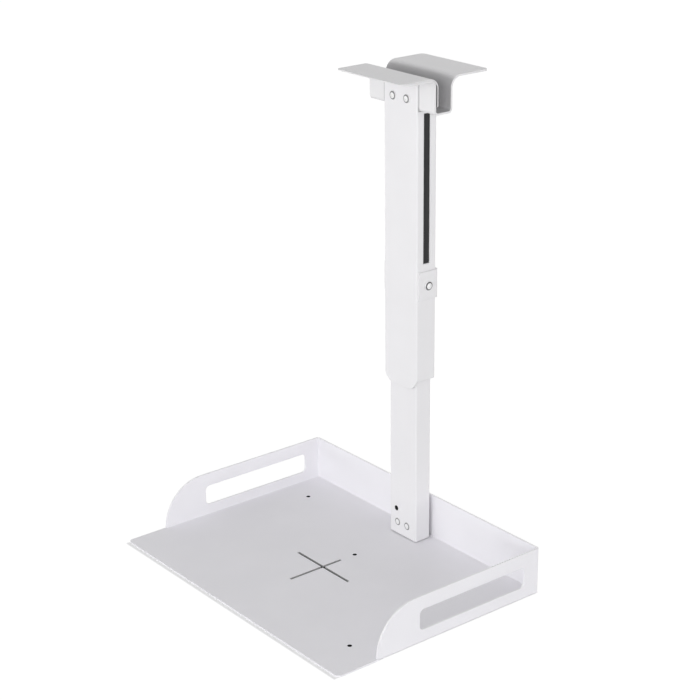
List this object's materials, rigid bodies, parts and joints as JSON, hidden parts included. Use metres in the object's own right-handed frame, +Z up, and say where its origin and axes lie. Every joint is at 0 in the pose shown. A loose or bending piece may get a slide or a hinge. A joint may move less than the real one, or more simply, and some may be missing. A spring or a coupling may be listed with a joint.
{
  "type": "projector ceiling mount",
  "caption": "Ceiling mount for a projector: an open sheet tray with handle slots on a telescopic column that slides to set the drop below a hat-section ceiling bracket.",
  "frame": {"origin": "on the floor under the middle of the overall box, which runs from the tray's front edge to the rear flange's edge", "axes": "X across the tray, Y from the tray's open front to its back wall, Z up the column to the ceiling bracket"},
  "size_m": [0.35, 0.29, 0.4915],
  "materials": {
    "white_coat": "white powder coat on steel sheet, satin with a fine grain",
    "black_plastic": "matt black plastic",
    "screw_steel": "zinc-plated steel"
  },
  "bodies": {
    "tray_and_tube": {"tray": "white_coat", "foot_bracket": "white_coat", "lower_tube": "white_coat", "lower_screw_left": "screw_steel", "lower_screw_right": "screw_steel"},
    "channel_and_bracket": {"upper_channel": "white_coat", "slide_liner": "black_plastic", "lock_strap": "white_coat", "lock_screw_left": "screw_steel", "lock_screw_right": "screw_steel", "ceiling_bracket": "white_coat", "backing_plate": "white_coat", "bracket_screw_left": "screw_steel", "bracket_screw_right": "screw_steel", "spacer_washer_left": "screw_steel", "spacer_washer_right": "screw_steel", "bracket_nut_left": "screw_steel", "bracket_nut_right": "screw_steel"}
  },
  "joints": [
    {"name": "height_slide", "type": "slide", "parent": "tray_and_tube", "child": "channel_and_bracket", "axis": [0, 0, 1], "range_m": [-0.1615, 0.0585]}
  ]
}
